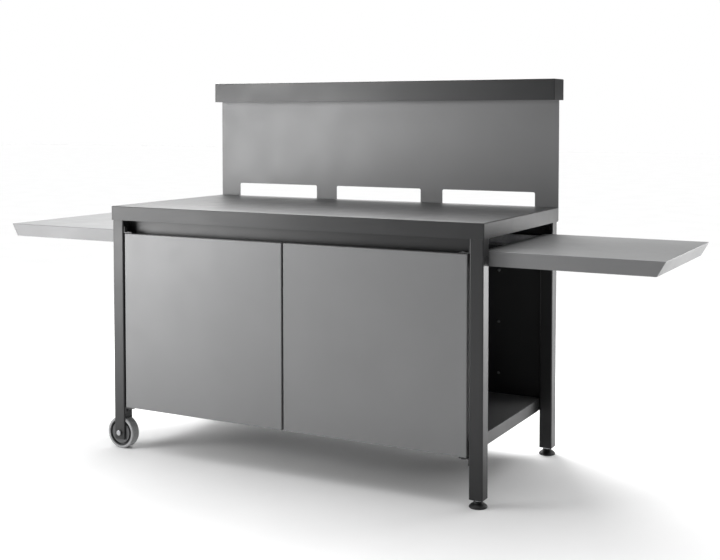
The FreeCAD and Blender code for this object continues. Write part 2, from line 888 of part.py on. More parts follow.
def wheel_hub():
    """Rim, recessed groove, disc and boss in one moulding, bored for the sleeve."""
    bore = axle_radius + hole_gap + sleeve_wall + running_gap
    rim = wheel_radius - tyre_thickness
    half = wheel_width / 2 - hub_inset
    boss = leg_size / 2 - leg_wall - touch_gap
    web = hub_web / 2
    upper = [(bore, boss), (hub_boss_radius, boss), (hub_boss_radius, half), (hub_disc_radius, half),
             (hub_disc_radius, web), (rim - hub_rim, web), (rim - hub_rim, half), (rim, half)]
    lower = [(r, -h) for r, h in reversed(upper)]
    return turned(upper + lower, wheel_centre(), ALONG_Y)


def axle_sleeve():
    length = leg_size - 2 * leg_wall
    start = wheel_centre() - ALONG_Y * (length / 2)
    bore = axle_radius + hole_gap
    return rod(bore + sleeve_wall, start, length, ALONG_Y).cut(rod(bore, start, length, ALONG_Y))


def axle_bolt():
    """A hexagon head with its outer corners turned down, and a plain shank through the leg."""
    seat = wheel_centre() - ALONG_Y * (leg_size / 2)
    corner = axle_head_width / 3 ** 0.5
    flat = axle_head_width / 2
    head = hexagon(axle_head_width, seat, axle_head_height, ALONG_Y * -1)
    blank = turned([(0, -1), (corner + 1, -1), (corner + 1, axle_head_height - corner + flat),
                    (flat, axle_head_height), (0, axle_head_height)], seat, ALONG_Y * -1)
    shank = rod(axle_radius, seat, leg_size + axle_nut_height, ALONG_Y)
    return fused(head.common(blank), shank)


def axle_nut():
    seat = wheel_centre() + ALONG_Y * (leg_size / 2)
    nut = hexagon(axle_nut_width, seat, axle_nut_height, ALONG_Y)
    return nut.cut(rod(axle_radius + hole_gap, seat, axle_nut_height, ALONG_Y))


# Levelling feet, drawn on the right at the front

def foot_centre():
    return V(leg_middle_x, -leg_middle_y, 0)


def foot_insert():
    side = leg_size / 2 - leg_wall
    c = foot_centre()
    block = box(c.x - side, c.x + side, c.y - side, c.y + side, foot_height, foot_height + insert_length)
    block = block.makeFillet(leg_corner - leg_wall + hole_gap, upright_edges(block))
    return block.cut(rod(stem_radius + running_gap, V(c.x, c.y, foot_height), insert_length, ALONG_Z))


def foot_pad():
    socket = stem_radius + hole_gap
    profile = [(0, 0), (pad_radius - 1, 0), (pad_radius, 1), (pad_radius, pad_edge),
               (pad_shoulder_radius, pad_shoulder_height), (pad_hub_radius, pad_cone_height),
               (pad_hub_radius, pad_hub_height), (socket, pad_hub_height), (socket, stem_floor), (0, stem_floor)]
    return turned(profile, foot_centre(), ALONG_Z)


def foot_stem():
    c = foot_centre()
    length = foot_height + insert_length + stem_spare - stem_floor
    stem = rod(stem_radius, V(c.x, c.y, stem_floor), length, ALONG_Z)
    collar = hexagon(collar_width, V(c.x, c.y, pad_hub_height), collar_height, ALONG_Z)
    return fused(stem, collar)


# Everything, node by node

def frame_screws():
    screws = []
    for front in (True, False):
        for seat, axis, grip in right_leg_screws(front):
            one = screw(seat, axis, grip)
            screws += [one, other_side(one)]
    return screws


def save_frame():
    save("leg_front_left", other_side(wheel_leg(True)))
    save("leg_rear_left", other_side(wheel_leg(False)))
    save("leg_front_right", leg_tube(True, foot_height))
    save("leg_rear_right", leg_tube(False, foot_height))
    plugs = [leg_plug(True), leg_plug(False)]
    save("leg_plugs", group(plugs + [other_side(p) for p in plugs]))
    save("front_rail", side_rail_profile())
    save("rear_rail", rear_rail_profile())
    save("side_top_tubes", group([side_top_tube(), other_side(side_top_tube())]))
    save("rear_top_tube", rear_top_tube())
    save("worktop", worktop())
    save("worktop_stiffeners", group(worktop_ribs()))
    save("bottom_tray", bottom_tray())
    save("tray_stiffeners", group(tray_ribs()))
    save("tray_brackets", group(four_corners(tray_bracket())))
    save("back_panel", back_panel())
    save("back_stiffeners", group(back_ribs()))
    save("back_rivets", group([rivet(place) for place in rivet_places()]))
    save("frame_screws", group(frame_screws()))


def save_splash():
    save("splash_panel", splash_panel())
    save("splash_posts", group(splash_posts()))
    save("splash_cap", splash_cap())
    save("cap_angle", cap_angle())
    save("splash_bolts", group(splash_bolts()))


def save_doors():
    for name, hand in (("right", lambda s: s), ("left", other_side)):
        save(name + "_door", hand(door()))
        save(name + "_door_stiffener", hand(door_rib()))
        save(name + "_door_bushes", group([hand(b) for b in door_bushes()]))
        save(name + "_door_strike", hand(strike_plate()))
    pairs = {
        "pivot_brackets": pivot_brackets(),
        "pivot_pins": pivot_pins(),
        "pivot_washers": [pivot_washer()],
        "catch_housings": [catch_housing()],
        "catch_magnets": [catch_magnet()],
        "door_bumpers": bumper_pair(),
    }
    for name, pieces in pairs.items():
        save(name, group(pieces + [other_side(p) for p in pieces]))


def save_shelves():
    save("slide_rails", group(four_corners(slide_outer())))
    for name, hand in (("right", lambda s: s), ("left", other_side)):
        save(name + "_shelf", hand(side_shelf()))
        for label, piece in (("shelf_brackets", shelf_bracket()), ("slide_carriers", slide_carrier()),
                             ("slide_runners", slide_runner())):
            save(name + "_" + label, group([hand(piece), hand(other_end(piece))]))


def save_wheels():
    for name, end in (("front", lambda s: s), ("rear", other_end)):
        save(name + "_wheel_tyre", end(tyre()))
        save(name + "_wheel_hub", end(wheel_hub()))
    for name, piece in (("axle_sleeves", axle_sleeve()), ("axle_bolts", axle_bolt()), ("axle_nuts", axle_nut())):
        save(name, group([piece, other_end(piece)]))


def save_feet():
    save("foot_inserts", group([foot_insert(), other_end(foot_insert())]))
    for name, end in (("front", lambda s: s), ("rear", other_end)):
        save(name + "_foot_pad", end(foot_pad()))
        save(name + "_foot_stem", end(foot_stem()))


save_frame()
save_splash()
save_doors()
save_shelves()
save_wheels()
save_feet()
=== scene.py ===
import json
import math

import bpy
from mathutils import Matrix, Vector


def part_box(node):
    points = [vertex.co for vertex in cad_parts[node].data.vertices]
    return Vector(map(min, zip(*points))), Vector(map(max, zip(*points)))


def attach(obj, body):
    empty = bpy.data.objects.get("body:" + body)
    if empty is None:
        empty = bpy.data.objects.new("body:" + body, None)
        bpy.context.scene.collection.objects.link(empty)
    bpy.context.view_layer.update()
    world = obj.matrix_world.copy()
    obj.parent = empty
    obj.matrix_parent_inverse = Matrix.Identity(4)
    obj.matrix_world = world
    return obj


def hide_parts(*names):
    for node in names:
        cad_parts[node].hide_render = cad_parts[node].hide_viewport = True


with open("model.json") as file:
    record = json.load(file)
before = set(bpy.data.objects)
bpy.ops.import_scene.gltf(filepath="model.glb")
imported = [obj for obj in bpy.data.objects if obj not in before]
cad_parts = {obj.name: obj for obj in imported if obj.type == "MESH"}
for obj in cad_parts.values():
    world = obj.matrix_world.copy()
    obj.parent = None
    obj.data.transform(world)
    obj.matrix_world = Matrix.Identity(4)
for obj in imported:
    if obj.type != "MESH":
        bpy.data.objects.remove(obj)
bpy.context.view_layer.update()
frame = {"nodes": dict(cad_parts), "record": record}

MM = 0.001

# Sizes in millimetres that the nodes' boxes don't give. A reach runs from the middle of what it belongs to.
HEAVY_SHEET = 2.0
DOOR_SHEET = 1.5
SHEARED_EDGE = 0.3
COVER_BEND = 2.6
DOOR_BEND = 2.2
SHELF_BEND = 2.0
TUBE_CORNER = 4.0
DOOR_RETURN = 21.5
DOOR_BORE_RADIUS = 5.65
SHELF_LEAN = 23.0
TRAY_NOTCH = 30.5
TRAY_LIP_REACH = 247.0
PANEL_STEP = 2.3
SLOT_MIDDLES = (-393, 0, 393)
SLOT_REACH = 157.5
SLOT_LOW = 762
SLOT_HIGH = 810
SLOT_CORNER = 5.0
POST_WIDTH = 40
WHEEL_SLOT_REACH = 16.5
WHEEL_SLOT_TOP = 99.6
SHADE_PLUG_RADIUS = 13
SHADE_PLUG_HEAD = 1.5
CUTTER_SLACK = 10  # how far a cutter stands out past what it cuts
SAME_PLACE = 0.02  # two places closer than this are the same
SAME_POINT = 0.001
SHARP_FOLD = 50  # degrees: a sheared edge turns by more, and a facet of a bend by less

# Turned profiles as (radius, height) in millimetres
# The plug is a dark piece standing in for the shade beside the shelves: painted shade
SHADE_PLUG = [(8, -6), (10, -6), (10, 0), (13, 0), (13, 0.6), (12.7, 1.0), (12.0, 1.3), (10.5, SHADE_PLUG_HEAD),
        (6, SHADE_PLUG_HEAD)]
HALF_TYRE = [(42, -15.5), (46, -15.5), (47.2, -15.5), (48.5, -15.1), (49.4, -14.2), (49.8, -12.8), (50, -10),
             (50, -5.2), (49.5, -4.9), (49.5, -4.3), (50, -4.0)]
HALF_HUB = [(6.2, 17.6), (9.6, 17.6), (10, 17.2), (10, 14.6), (10.6, 14.0), (14, 13.4), (28, 13.4), (30, 13.8),
            (31, 14.0), (33.4, 14.0), (34, 13.4), (34, 6.4), (34.4, 6), (39, 6), (39.5, 6.5), (39.5, 13.6),
            (39.9, 14.0), (41.6, 14.0), (42, 13.6)]
BOLT_HEAD = [(8.66, 0), (8.66, 6)]
BOLT_CHAMFER = [(9.5, -1), (9.5, 4.9), (7.3, 6.0), (6.2, 6.0)]
BOLT_SHANK = [(4, 0.1), (4, 45.5), (3.4, 46.5)]
FOOT_PAD = [(23.6, 0), (24.4, 0.3), (24.9, 1.0), (25, 2.8), (24.6, 3.9), (23.4, 5.6), (21.2, 7.8), (18.4, 9.9),
            (15.8, 11.5), (13.9, 12.9), (13.2, 14.0), (13, 15.8), (12.6, 16.5), (5.2, 16.5)]
FOOT_COLLAR = [(9.0, 16.5), (9.8, 16.9), (9.8, 19.6), (9.0, 20.0)]
STEM_SHANK = [(5.0, 9.0), (5.0, 20.0)]
THREAD_START = 20.2
THREAD_PITCH = 1.5
THREAD_TURN = [(4.95, 0), (4.95, 0.35), (4.35, 0.85), (4.35, 1.1)]
STEM_TIP = [(4.6, -0.8), (3.8, 0)]
STEM_TIP_ROOM = 1.6  # no turn of the thread starts this close to the stem's top

# Colours of the paint, in linear light
ANTHRACITE = (0.0145, 0.0147, 0.0154)
# A lighter anthracite painted on the worktop's top face: a painted reflection of the light that top catches at
# a grazing angle
PAINTED_SHEEN_ANTHRACITE = (0.048, 0.0484, 0.0495)
MID_GREY = (0.16, 0.161, 0.163)


# Materials

class Wire:
    """A socket of a finish under way. Arithmetic on it adds Math nodes."""

    def __init__(self, finish, socket):
        self.finish = finish
        self.socket = socket

    def __add__(self, other):
        return self.finish.math("ADD", self, other)

    def __sub__(self, other):
        return self.finish.math("SUBTRACT", self, other)

    def __rsub__(self, other):
        return self.finish.math("SUBTRACT", other, self)

    def __mul__(self, other):
        return self.finish.math("MULTIPLY", self, other)

    def __pow__(self, other):
        return self.finish.math("POWER", self, other)

    __radd__ = __add__
    __rmul__ = __mul__


class Finish:
    """A material, or the world, with its shader and the patterns that feed it."""

    def __init__(self, name=None):
        self.material = bpy.data.materials.new(name) if name else bpy.data.worlds.new("studio")
        self.material.use_nodes = True
        self.tree = self.material.node_tree
        self.shader = self.tree.nodes.get("Principled BSDF") or self.tree.nodes["Background"]

    def node(self, kind, settings=None, values=None, out=0):
        """Adds a node with its settings, feeds its sockets and gives back one of its outputs."""
        made = self.tree.nodes.new(kind)
        for key, value in (settings or {}).items():
            setattr(made, key, value)
        self.feed(made, values or {})
        return Wire(self, made.outputs[out])

    def feed(self, node, values):
        for key, value in values.items():
            if isinstance(value, Wire):
                self.tree.links.new(value.socket, node.inputs[key])
            else:
                node.inputs[key].default_value = value

    def math(self, operation, a, b=0.0):
        return self.node("ShaderNodeMath", {"operation": operation}, {0: a, 1: b})

    def place(self):
        return self.node("ShaderNodeTexCoord", out="Object")

    def noise(self, scale, detail=2.0, rough=0.5, vector=None, warp=0.0):
        return self.node("ShaderNodeTexNoise", None, {
            "Vector": vector or self.place(), "Scale": scale, "Detail": detail,
            "Roughness": rough, "Distortion": warp})

    def stretched(self, x, y, z):
        return self.node("ShaderNodeMapping", None, {"Vector": self.place(), "Scale": (x, y, z)})

    def between(self, wire, low=0.0, high=1.0):
        """The middle range of a noise stretched over low to high."""
        return self.node("ShaderNodeMapRange", {"interpolation_type": "SMOOTHSTEP"}, {
            "Value": wire, "From Min": 0.3, "From Max": 0.7, "To Min": low, "To Max": high})

    def blend(self, share, first, second):
        """Mixes two colours. The Mix node takes them at sockets 6 and 7 and gives the result at 2."""
        kind = {"data_type": "RGBA", "blend_type": "MIX"}
        first, second = (c if isinstance(c, Wire) else (*c, 1) for c in (first, second))
        return self.node("ShaderNodeMix", kind, {0: share, 6: first, 7: second}, out=2)

    def relief(self, height, strength, depth):
        return self.node("ShaderNodeBump", None, {
            "Height": height, "Strength": strength, "Distance": depth * MM})

    def set(self, **values):
        """Feeds the shader, with _ for the space in a socket's name."""
        self.feed(self.shader, {key.replace("_", " "): value for key, value in values.items()})
        return self.material


def shade(colour, factor):
    return tuple(c * factor for c in colour)


def top_face(node):
    """The two heights just below and above a node's top."""
    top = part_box(node)[1].z
    return top - 0.5 * MM, top + 0.5 * MM


def powder_coat(name, colour, roughness, index, painted_light_band=None):
    """Satin powder coat: fine orange peel, a faint cloud in the pigment, and gloss that wanders a little.
    Given a band of (low, high, colour), the paint takes that colour between these heights, mottled a little:
    painted light on a top face."""
    f = Finish(name)
    cloud = f.noise(2.3, detail=3, rough=0.55)
    grit = f.noise(1500, rough=0.6)
    peel = f.noise(330, rough=0.45)
    rub_and_sheen = f.noise(7, detail=4, rough=0.6, warp=0.4)
    tone = f.between(cloud * 0.8 + grit * 0.2)
    gloss = f.between(rub_and_sheen, roughness - 0.035, roughness + 0.035) + grit * 0.06
    paint = f.blend(tone, shade(colour, 0.94), shade(colour, 1.06))
    # Painted light: between the band's heights the paint takes the lighter band colour, mottled by the same
    # cloud that makes the gloss wander
    if painted_light_band:
        low, high, painted_light_colour = painted_light_band
        height = f.node("ShaderNodeSeparateXYZ", None, {0: f.place()}, out=2)
        inside = f.math("GREATER_THAN", height, low) * f.math("LESS_THAN", height, high)
        paint = f.blend(inside * f.between(rub_and_sheen, 0.85, 1.0), paint, painted_light_colour)
    return f.set(
        Base_Color=paint, Roughness=gloss, IOR=index,
        Normal=f.relief(peel * 0.7 + grit * 0.3, strength=0.16, depth=0.12))


def zinc_plate():
    """Bright zinc on rolled steel: drawn lines along the section and a faint cloudy bloom."""
    f = Finish("zinc plated steel")
    lines = f.noise(1, detail=3, rough=0.6, vector=f.stretched(6, 900, 900))
    bloom = f.noise(38, detail=4, rough=0.65, warp=0.6)
    tone = f.between(bloom * 0.6 + lines * 0.4)
    return f.set(
        Base_Color=f.blend(tone, (0.42, 0.43, 0.45), (0.66, 0.66, 0.67)), Metallic=1.0,
        Roughness=f.between(lines * 0.5 + bloom * 0.5, 0.28, 0.42),
        Normal=f.relief(lines, strength=0.12, depth=0.05))


def polished_steel():
    """Turned bright steel with faint machining rings and small handling marks."""
    f = Finish("bright steel")
    marks = f.noise(260, detail=4, rough=0.7, warp=0.8)
    turning = f.noise(1, vector=f.stretched(900, 60, 900))
    return f.set(
        Base_Color=f.blend(f.between(marks), (0.29, 0.297, 0.304), (0.38, 0.387, 0.394)), Metallic=1.0,
        Roughness=f.between(marks * 0.6 + turning * 0.4, 0.32, 0.46),
        Normal=f.relief(turning, strength=0.1, depth=0.03))


def black_oxide():
    """Blackened steel, slightly oily, with grey showing through where it is handled."""
    f = Finish("black coated steel")
    wear = f.noise(120, detail=4, rough=0.65, warp=0.5)
    return f.set(
        Base_Color=f.blend(f.between(wear), (0.012, 0.012, 0.013), (0.026, 0.026, 0.028)),
        Roughness=f.between(wear, 0.34, 0.5),
        Normal=f.relief(f.noise(900), strength=0.12, depth=0.05))


def moulded(name, colour, roughness, grain):
    """Moulded plastic with the fine spark texture of its tool."""
    f = Finish(name)
    spark = f.noise(grain, detail=3, rough=0.6)
    flow = f.noise(24, detail=3, warp=0.7)
    return f.set(
        Base_Color=f.blend(f.between(flow), shade(colour, 0.9), shade(colour, 1.1)),
        Roughness=f.between(spark, roughness - 0.06, roughness + 0.06),
        Normal=f.relief(spark, strength=0.3, depth=0.08))


def tyre_rubber():
    """Grey non-marking rubber: matt and faintly dusty, with fine scuffs."""
    f = Finish("grey tyre rubber")
    dust = f.noise(60, detail=5, rough=0.65, warp=0.5)
    skin = f.noise(1100, rough=0.6)
    return f.set(
        Base_Color=f.blend(f.between(dust), (0.25, 0.253, 0.257), (0.32, 0.323, 0.327)),
        Roughness=f.between(dust * 0.7 + skin * 0.3, 0.5, 0.68),
        Normal=f.relief(skin, strength=0.3, depth=0.08))


def soft_rubber():
    """Black rubber with a dusty skin."""
    f = Finish("black rubber")
    dust = f.noise(90, detail=5, rough=0.65)
    return f.set(
        Base_Color=f.blend(f.between(dust), (0.01, 0.01, 0.011), (0.022, 0.022, 0.023)),
        Roughness=f.between(dust, 0.6, 0.75),
        Normal=f.relief(f.noise(1300), strength=0.3, depth=0.06))


def ferrite():
    """Pressed and sintered magnet: dark grey, with a coarse grain."""
    f = Finish("ferrite magnet")
    grain = f.noise(700, detail=4, rough=0.7)
    return f.set(
        Base_Color=f.blend(f.between(grain), (0.03, 0.03, 0.034), (0.07, 0.07, 0.075)), Metallic=0.4,
        Roughness=f.between(grain, 0.35, 0.55),
        Normal=f.relief(grain, strength=0.3, depth=0.08))


# The finish of each material slot, and that of the tray, whose top is painted mid grey: painted light
finishes = {
    # The worktop's top face is painted a lighter anthracite: a painted reflection
    "anthracite_paint": powder_coat("anthracite powder coat", ANTHRACITE, 0.35, 1.45,
                                    (*top_face("worktop"), PAINTED_SHEEN_ANTHRACITE)),
    # The tray's top is painted mid grey: painted light on an inner surface that lies in shade
    "tray_paint_painted_light": powder_coat("anthracite powder coat of the tray", ANTHRACITE, 0.35, 1.45,
                              (*top_face("bottom_tray"), MID_GREY)),
    "grey_paint": powder_coat("grey powder coat", MID_GREY, 0.38, 1.5),
    "zinc_steel": zinc_plate(),
    "black_steel": black_oxide(),
    "bright_steel": polished_steel(),
    "grey_rubber": tyre_rubber(),
    "grey_plastic": moulded("grey hub plastic", (0.06, 0.061, 0.063), 0.5, 800),
    "black_plastic": moulded("black nylon", (0.006, 0.006, 0.0065), 0.55, 900),
    "magnet": ferrite(),
    "black_rubber": soft_rubber(),
}
slots = {row["node"]: row["material_slot"] for row in frame["record"]["subparts"]}
for node, cad in frame["nodes"].items():
    cad.data.materials.clear()
    cad.data.materials.append(finishes[slots[node]])


# Modelling by hand

UP, DOWN, BACK = Vector((0, 0, 1)), Vector((0, 0, -1)), Vector((0, 1, 0))
TURNS = {"Z": (0, 0, 0), "Y": (-90, 0, 0), "-Y": (90, 0, 0), "X": (0, 90, 0), "-X": (0, -90, 0)}


def rest_hands():
    """Object mode, nothing selected."""
    if bpy.context.object and bpy.context.object.mode != "OBJECT":
        bpy.ops.object.mode_set(mode="OBJECT")
    bpy.ops.object.select_all(action="DESELECT")


def hold(piece):
    """Only this piece selected, in object mode."""
    rest_hands()
    piece.select_set(True)
    bpy.context.view_layer.objects.active = piece


def settle():
    """The selected object's place goes into its mesh."""
    bpy.ops.object.transform_apply(location=True, rotation=True, scale=True)


def added(name):
    """The object just added, named and settled."""
    piece = bpy.context.object
    piece.name = piece.data.name = name
    settle()
    return piece


def block(name, low, high):
    """A box between two corners, to be cut and folded."""
    rest_hands()
    low, high = Vector(low), Vector(high)
    bpy.ops.mesh.primitive_cube_add(size=1, location=(low + high) / 2, scale=high - low)
    return added(name)


def pick(piece, kind, test):
    """Edit mode, with the points, edges or faces picked whose place, ends or normal pass the test."""
    hold(piece)
    bpy.context.tool_settings.mesh_select_mode = (kind == "VERT", kind == "EDGE", kind == "FACE")
    mesh = piece.data
    for group in (mesh.vertices, mesh.edges, mesh.polygons):
        group.foreach_set("select", [False] * len(group))
    if kind == "FACE":
        for face in mesh.polygons:
            face.select = test(face.normal)
    elif kind == "EDGE":
        for edge in mesh.edges:
            edge.select = test(*(mesh.vertices[i].co for i in edge.vertices))
    else:
        for point in mesh.vertices:
            point.select = test(point.co)
    bpy.ops.object.mode_set(mode="EDIT")


def near(a, b):
    return abs(a - b) < SAME_PLACE * MM


def both_at(a, b, axis, place):
    """True for an edge whose ends both lie at this place on the axis."""
    return near(getattr(a, axis), place) and near(getattr(b, axis), place)


def upright(a, b):
    return not near(a.z, b.z)


def apply_modifier(piece, kind, **settings):
    """Adds a modifier and applies it."""
    hold(piece)
    modifier = piece.modifiers.new(kind.lower(), kind)
    for key, value in settings.items():
        setattr(modifier, key, value)
    bpy.ops.object.modifier_apply(modifier=modifier.name)


def pick_side(piece, way):
    """Edit mode, with the faces picked that look this way."""
    pick(piece, "FACE", lambda normal: normal.dot(way) > 0.99)


def open_sides(piece, *ways):
    """Takes away the faces that look these ways."""
    for way in ways:
        pick_side(piece, way)
        bpy.ops.mesh.delete(type="FACE")


def round_edges(piece, test, radius, steps=4):
    pick(piece, "EDGE", test)
    bpy.ops.mesh.bevel(offset=radius * MM, segments=steps, profile=0.5, affect="EDGES")


def break_edges(piece):
    """Takes the sharpness off the sheared edges, and leaves the rounded bends alone."""
    apply_modifier(piece, "BEVEL", width=SHEARED_EDGE * MM, segments=2, limit_method="ANGLE",
                   angle_limit=math.radians(SHARP_FOLD))


def sheet_metal(piece, thickness):
    """Gives the folded skin its thickness inwards and breaks its sheared edges."""
    apply_modifier(piece, "SOLIDIFY", thickness=thickness * MM, offset=-1, use_even_offset=True)
    break_edges(piece)


def cut(piece, tool, operation="DIFFERENCE"):
    """Cuts the tool out of the piece, or the piece down to the tool, and puts the tool away."""
    apply_modifier(piece, "BOOLEAN", operation=operation, object=tool, solver="EXACT")
    bpy.data.objects.remove(tool)


def join(first, *others):
    hold(first)
    for other in others:
        other.select_set(True)
    bpy.ops.object.join()
    return first


def turned(name, rings, centre, axis="Z", sides=64, hollow=False):
    """A turned piece: a ring is extruded and scaled from each (radius, height) to the next, along the axis.
    A hollow one closes on its first ring."""
    rest_hands()
    radius, height = rings[0]
    bpy.ops.mesh.primitive_circle_add(vertices=sides, radius=radius * MM, location=(0, 0, height * MM),
                                      fill_type="NOTHING" if hollow else "NGON")
    piece = added(name)
    bpy.ops.object.mode_set(mode="EDIT")
    bpy.ops.mesh.select_all(action="SELECT")
    extrude = bpy.ops.mesh.extrude_edges_move if hollow else bpy.ops.mesh.extrude_region_move
    for new_radius, new_height in rings[1:] + (rings[:1] if hollow else []):
        extrude(TRANSFORM_OT_translate={"value": (0, 0, (new_height - height) * MM)})
        share = new_radius / radius
        bpy.ops.transform.resize(value=(share, share, 1), center_override=(0, 0, new_height * MM))
        radius, height = new_radius, new_height
    bpy.ops.mesh.select_all(action="SELECT")
    bpy.ops.mesh.remove_doubles(threshold=SAME_POINT * MM)
    bpy.ops.mesh.normals_make_consistent(inside=False)
    hold(piece)
    piece.rotation_euler = [math.radians(angle) for angle in TURNS[axis]]
    piece.location = centre
    settle()
    return piece


def done(piece, body, *replaced, smooth=32, finish=None):
    """Smooths what turns by less than smooth degrees, paints the piece, with its first node's finish unless
    told otherwise, and puts it on its body in place of its CAD nodes."""
    hold(piece)
    bpy.ops.object.shade_smooth_by_angle(angle=math.radians(smooth))
    apply_modifier(piece, "WEIGHTED_NORMAL", mode="FACE_AREA", weight=100, keep_sharp=True)
    piece.data.materials.clear()
    piece.data.materials.append(finishes[finish or slots[replaced[0]]])
    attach(piece, body)
    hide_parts(*replaced)


def middle(node):
    low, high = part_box(node)
    return (low + high) / 2


# Folded covers: worktop, cap and bottom tray

def cover(node):
    """A sheet with its four sides folded down."""
    low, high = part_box(node)
    piece = block(node + "_cover", low, high)
    open_sides(piece, DOWN)
    round_edges(piece, lambda a, b: both_at(a, b, "z", high.z) or upright(a, b), COVER_BEND)
    sheet_metal(piece, HEAVY_SHEET)
    return piece


def make_tray():
    """The bottom tray. In front its corners are cut away for the doors' swing, and behind that and at the
    back its lip is notched for the legs and brackets."""
    piece = cover("bottom_tray")
    low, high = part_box("bottom_tray")
    slack = CUTTER_SLACK * MM
    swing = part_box("tray_brackets")[0].y
    legs_middle = (middle("leg_front_left").y + middle("leg_rear_left").y) / 2
    under = high.z - HEAVY_SHEET * MM
    for side in (-1, 1):
        left, right = sorted((side * (high.x - TRAY_NOTCH * MM), side * (high.x + slack)))
        for front, back, top in (
                (low.y - slack, swing, high.z + slack),
                (low.y - slack, legs_middle - TRAY_LIP_REACH * MM, under),
                (legs_middle + TRAY_LIP_REACH * MM, high.y + slack, under)):
            cut(piece, block("notch", (left, front, low.z - slack), (right, back, top)))
    # Its finish paints the tray's top mid grey: painted light
    done(piece, "frame", "bottom_tray", finish="tray_paint_painted_light")


# Doors

def make_door(side):
    """A folded tray with returns behind, bored for its bushes."""
    node = side + "_door"
    low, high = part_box(node)
    piece = block(node + "_panel", low, high)
    pick_side(piece, BACK)
    bpy.ops.mesh.inset(thickness=DOOR_RETURN * MM)
    bpy.ops.mesh.delete(type="FACE")
    round_edges(piece, lambda a, b: both_at(a, b, "y", low.y), DOOR_BEND)
    sheet_metal(piece, DOOR_SHEET)
    pivot = middle(side + "_door_bushes")
    length = (high.z - low.z) / MM + 2 * CUTTER_SLACK
    cut(piece, turned("bore", [(DOOR_BORE_RADIUS, 0), (DOOR_BORE_RADIUS, length)],
                      (pivot.x, pivot.y, low.z - CUTTER_SLACK * MM), sides=48))
    done(piece, node, node)


# Side shelves

def make_shelf(side):
    """A tray upside down, its outer end leaning in, its inner end open."""
    node = side + "_shelf"
    low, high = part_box(node)
    piece = block(node + "_tray", low, high)
    inner, outer, inwards = (low.x, high.x, -1) if side == "right" else (high.x, low.x, 1)
    pick(piece, "VERT", lambda p: near(p.x, outer) and near(p.z, low.z))
    bpy.ops.transform.translate(value=(inwards * SHELF_LEAN * MM, 0, 0))
    open_sides(piece, DOWN, Vector((inwards, 0, 0)))

    def is_fold(a, b):
        return (both_at(a, b, "z", high.z) or upright(a, b)) and not both_at(a, b, "x", inner)

    round_edges(piece, is_fold, SHELF_BEND)
    sheet_metal(piece, HEAVY_SHEET)
    done(piece, node, node)


# Splash panel and its posts

def make_splash():
    """A flat sheet with three long slots; inside the cap it is a little narrower."""
    low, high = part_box("splash_panel")
    slack = CUTTER_SLACK * MM
    cap_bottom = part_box("splash_cap")[0].z
    piece = block("splash_sheet", low, (high.x, high.y, cap_bottom))
    pick_side(piece, UP)
    bpy.ops.mesh.inset(thickness=0)
    bpy.ops.transform.resize(value=((high.x - PANEL_STEP * MM) / high.x, 1, 1),
                             center_override=(0, 0, cap_bottom))
    bpy.ops.mesh.extrude_region_move(TRANSFORM_OT_translate={"value": (0, 0, high.z - cap_bottom)})
    for x in SLOT_MIDDLES:
        slot = block("slot", ((x - SLOT_REACH) * MM, low.y - slack, SLOT_LOW * MM),
                     ((x + SLOT_REACH) * MM, high.y + slack, SLOT_HIGH * MM))
        round_edges(slot, lambda a, b: not near(a.y, b.y), SLOT_CORNER, steps=8)
        cut(piece, slot)
    break_edges(piece)
    done(piece, "frame", "splash_panel")


def make_posts():
    """Two folded channels behind the splash panel."""
    low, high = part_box("splash_posts")
    made = []
    for left in (low.x, high.x - POST_WIDTH * MM):
        post = block("splash_post", (left, low.y, low.z), (left + POST_WIDTH * MM, high.y, high.z))
        open_sides(post, BACK, UP, DOWN)
        round_edges(post, lambda a, b: both_at(a, b, "y", low.y), COVER_BEND)
        sheet_metal(post, HEAVY_SHEET)
        made.append(post)
    done(join(*made), "frame", "splash_posts")


# Legs

def make_leg(end, side):
    """A square tube with round corners; a left leg is slotted from the bottom for its wheel."""
    node = f"leg_{end}_{side}"
    low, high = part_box(node)
    piece = block(node + "_tube", low, high)
    open_sides(piece, UP, DOWN)
    round_edges(piece, upright, TUBE_CORNER, steps=6)
    sheet_metal(piece, HEAVY_SHEET)
    if side == "left":
        y, reach, slack = middle(node).y, WHEEL_SLOT_REACH * MM, CUTTER_SLACK * MM
        cut(piece, block("wheel_slot", (low.x - slack, y - reach, low.z - slack),
                         (high.x + slack, y + reach, WHEEL_SLOT_TOP * MM)))
    done(piece, "frame", node)


def make_shade_plugs():
    """Round plastic plugs pressed into the legs' outer faces. Their dark heads stand in for the shade beside
    the shelves: painted shade.
    """
    low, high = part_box("leg_plugs")
    made = []
    for axis, seat in (("-X", low.x + SHADE_PLUG_HEAD * MM), ("X", high.x - SHADE_PLUG_HEAD * MM)):
        for y in (low.y + SHADE_PLUG_RADIUS * MM, high.y - SHADE_PLUG_RADIUS * MM):
            made.append(turned("leg_plug", SHADE_PLUG, (seat, y, (low.z + high.z) / 2), axis))
    done(join(*made), "frame", "leg_plugs")


# Wheels

def make_wheel(end):
    """A grey tyre with rounded shoulders on a moulded hub with a deep groove behind its rim."""
    centre = middle(end + "_wheel_tyre")
    for part, half in (("tyre", HALF_TYRE), ("hub", HALF_HUB)):
        mirrored = [(radius, -height) for radius, height in reversed(half)]
        piece = turned(f"{end}_{part}", half + mirrored, centre, "Y", sides=96, hollow=True)
        done(piece, end + "_wheel", f"{end}_wheel_{part}", smooth=40)


def make_axle_bolts():
    """Hexagon heads with their corners turned down, on plain shanks."""
    centre = middle("front_wheel_tyre")
    made = []
    for end, outwards, inwards in (("front", "-Y", "Y"), ("rear", "Y", "-Y")):
        leg_low, leg_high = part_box(f"leg_{end}_left")
        seat = (centre.x, (leg_low if end == "front" else leg_high).y, centre.z)
        head = turned("bolt", BOLT_HEAD, seat, outwards, sides=6)
        cut(head, turned("form", BOLT_CHAMFER, seat, outwards), "INTERSECT")
        made += [head, turned("shank", BOLT_SHANK, seat, inwards, sides=32)]
    done(join(*made), "frame", "axle_bolts")


# Levelling feet

